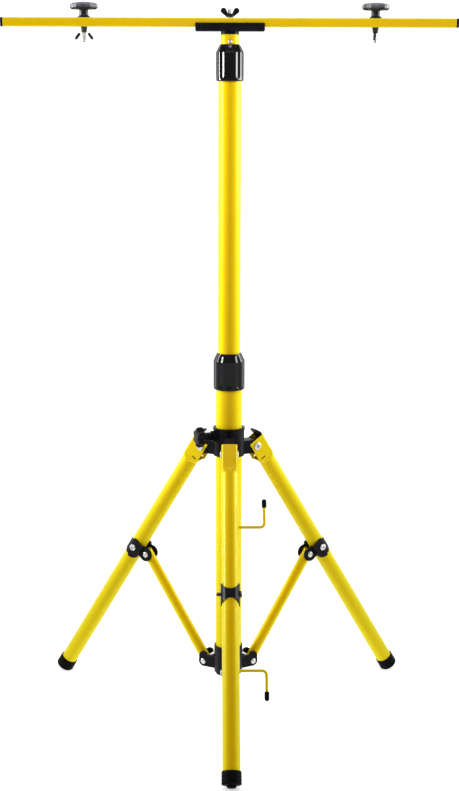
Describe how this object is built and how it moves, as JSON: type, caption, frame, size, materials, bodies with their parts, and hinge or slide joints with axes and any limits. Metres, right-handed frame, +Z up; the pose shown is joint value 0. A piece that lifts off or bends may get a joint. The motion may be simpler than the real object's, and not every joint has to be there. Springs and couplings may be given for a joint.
{
  "type": "work light stand",
  "caption": "Folding telescopic tripod stand with twist-lock tubes and a crossbar that carries two work lights on knobbed bolts.",
  "frame": {"origin": "on the floor, at the middle of the open tripod's footprint; the mast's axis is 73.9 mm behind it, towards +Y", "axes": "+Z up along the mast, +X along the crossbar, front leg towards -Y"},
  "size_m": [0.633, 0.4703, 1.0264],
  "materials": {
    "yellow_paint": "gloss yellow powder coat",
    "black_plastic": "satin moulded black plastic",
    "gloss_black": "gloss moulded black plastic",
    "black_steel": "satin black painted pressed steel",
    "zinc": "bright zinc plate",
    "rubber": "matt black rubber",
    "nylon": "natural nylon"
  },
  "bodies": {
    "mast": {"mast_lower_tube": "yellow_paint", "mast_bottom_plug": "black_plastic", "bottom_bracket": "black_steel", "bracket_stop_pins": "zinc", "brace_foot_rivets": "zinc", "lower_collar_base": "black_plastic", "lower_collet": "nylon"},
    "lower_twist": {"lower_collar": "gloss_black"},
    "middle_guide": {"middle_guide_bush": "nylon"},
    "middle_stage": {"middle_tube": "yellow_paint", "upper_collar_base": "black_plastic", "upper_collet": "nylon"},
    "upper_twist": {"upper_collar": "gloss_black"},
    "inner_guide": {"inner_guide_bush": "nylon"},
    "head": {"inner_tube": "yellow_paint", "head_bracket": "black_plastic", "head_rivet": "zinc", "crossbar": "yellow_paint", "crossbar_plug_left": "black_plastic", "crossbar_plug_right": "black_plastic", "crossbar_bolt": "zinc", "crossbar_washer": "zinc"},
    "centre_wing": {"crossbar_wing_nut": "black_plastic"},
    "lamp_fixing_left": {"lamp_knob_left": "black_plastic", "lamp_bolt_left": "zinc"},
    "lamp_fixing_right": {"lamp_knob_right": "black_plastic", "lamp_bolt_right": "zinc"},
    "wing_left": {"lamp_wing_nut_left": "zinc"},
    "wing_right": {"lamp_wing_nut_right": "zinc"},
    "slider": {"hub": "black_plastic", "hub_rivets": "zinc", "hub_brake_pad": "nylon"},
    "hub_clamp": {"hub_clamp_knob": "black_plastic", "hub_clamp_stud": "zinc"},
    "front_brace": {"brace_front": "yellow_paint"},
    "front_leg": {"leg_front": "yellow_paint", "leg_cap_front": "black_plastic", "foot_front": "rubber", "leg_clip_front": "black_steel", "clip_screw_front": "zinc", "clip_rivet_front": "zinc", "cable_hook_upper": "yellow_paint", "cable_hook_lower": "yellow_paint", "hook_tip_upper": "rubber", "hook_tip_lower": "rubber"},
    "left_brace": {"brace_left": "yellow_paint"},
    "left_leg": {"leg_left": "yellow_paint", "leg_cap_left": "black_plastic", "foot_left": "rubber", "leg_clip_left": "black_steel", "clip_screw_left": "zinc", "clip_rivet_left": "zinc"},
    "right_brace": {"brace_right": "yellow_paint"},
    "right_leg": {"leg_right": "yellow_paint", "leg_cap_right": "black_plastic", "foot_right": "rubber", "leg_clip_right": "black_steel", "clip_screw_right": "zinc", "clip_rivet_right": "zinc"}
  },
  "joints": [
    {"name": "tripod_fold", "type": "hinge", "parent": "mast", "child": "front_brace", "pos_m": [0, 0.0365, 0.0636], "axis": [-1, 0, 0], "range_deg": [0, 33.9]},
    {"name": "brace_left_fold", "type": "hinge", "parent": "mast", "child": "left_brace", "pos_m": [-0.03239, 0.0926, 0.0636], "axis": [0.5, 0.866, 0], "range_deg": [0, 33.9]},
    {"name": "brace_right_fold", "type": "hinge", "parent": "mast", "child": "right_brace", "pos_m": [0.03239, 0.0926, 0.0636], "axis": [0.5, -0.866, 0], "range_deg": [0, 33.9]},
    {"name": "leg_front_fold", "type": "hinge", "parent": "front_brace", "child": "front_leg", "pos_m": [0, -0.0653, 0.2146], "axis": [1, 0, 0], "range_deg": [0, 63.4]},
    {"name": "leg_left_fold", "type": "hinge", "parent": "left_brace", "child": "left_leg", "pos_m": [-0.12055, 0.1435, 0.2146], "axis": [-0.5, -0.866, 0], "range_deg": [0, 63.4]},
    {"name": "leg_right_fold", "type": "hinge", "parent": "right_brace", "child": "right_leg", "pos_m": [0.12055, 0.1435, 0.2146], "axis": [-0.5, 0.866, 0], "range_deg": [0, 63.4]},
    {"name": "hub_lift", "type": "hinge", "parent": "front_leg", "child": "slider", "pos_m": [0, 0.0319, 0.3945], "axis": [-1, 0, 0], "range_deg": [0, 29.5]},
    {"name": "hub_clamp_turn", "type": "hinge", "parent": "slider", "child": "hub_clamp", "pos_m": [0, 0.0739, 0.414], "axis": [-0.9397, -0.342, 0], "continuous": true},
    {"name": "lower_collar_twist", "type": "hinge", "parent": "mast", "child": "lower_twist", "pos_m": [0, 0.0739, 0.509], "axis": [0, 0, 1], "range_deg": [0, 180]},
    {"name": "middle_slide", "type": "slide", "parent": "mast", "child": "middle_guide", "axis": [0, 0, 1], "range_m": [-0.375, 0.05]},
    {"name": "middle_swivel", "type": "hinge", "parent": "middle_guide", "child": "middle_stage", "pos_m": [0, 0.0739, 0.456], "axis": [0, 0, 1], "continuous": true},
    {"name": "upper_collar_twist", "type": "hinge", "parent": "middle_stage", "child": "upper_twist", "pos_m": [0, 0.0739, 0.944], "axis": [0, 0, 1], "range_deg": [0, 180]},
    {"name": "inner_slide", "type": "slide", "parent": "middle_stage", "child": "inner_guide", "axis": [0, 0, 1], "range_m": [0, 0.38]},
    {"name": "head_swivel", "type": "hinge", "parent": "inner_guide", "child": "head", "pos_m": [0, 0.0739, 0.506], "axis": [0, 0, 1], "continuous": true},
    {"name": "centre_wing_turn", "type": "hinge", "parent": "head", "child": "centre_wing", "pos_m": [0, 0.0739, 1.011], "axis": [0, 0, 1], "continuous": true},
    {"name": "lamp_knob_left_turn", "type": "hinge", "parent": "head", "child": "lamp_fixing_left", "pos_m": [-0.202, 0.0739, 1.006], "axis": [0, 0, 1], "continuous": true},
    {"name": "lamp_knob_right_turn", "type": "hinge", "parent": "head", "child": "lamp_fixing_right", "pos_m": [0.202, 0.0739, 1.006], "axis": [0, 0, 1], "continuous": true},
    {"name": "wing_left_turn", "type": "hinge", "parent": "head", "child": "wing_left", "pos_m": [-0.202, 0.0739, 0.986], "axis": [0, 0, 1], "continuous": true},
    {"name": "wing_right_turn", "type": "hinge", "parent": "head", "child": "wing_right", "pos_m": [0.202, 0.0739, 0.986], "axis": [0, 0, 1], "continuous": true}
  ],
  "couplings": [
    {"joint": "brace_left_fold", "follows": "tripod_fold", "ratio": 1},
    {"joint": "brace_right_fold", "follows": "tripod_fold", "ratio": 1},
    {"joint": "leg_front_fold", "follows": "tripod_fold", "ratio": 1.8696},
    {"joint": "leg_left_fold", "follows": "tripod_fold", "ratio": 1.8696},
    {"joint": "leg_right_fold", "follows": "tripod_fold", "ratio": 1.8696},
    {"joint": "hub_lift", "follows": "tripod_fold", "ratio": 0.86957}
  ]
}
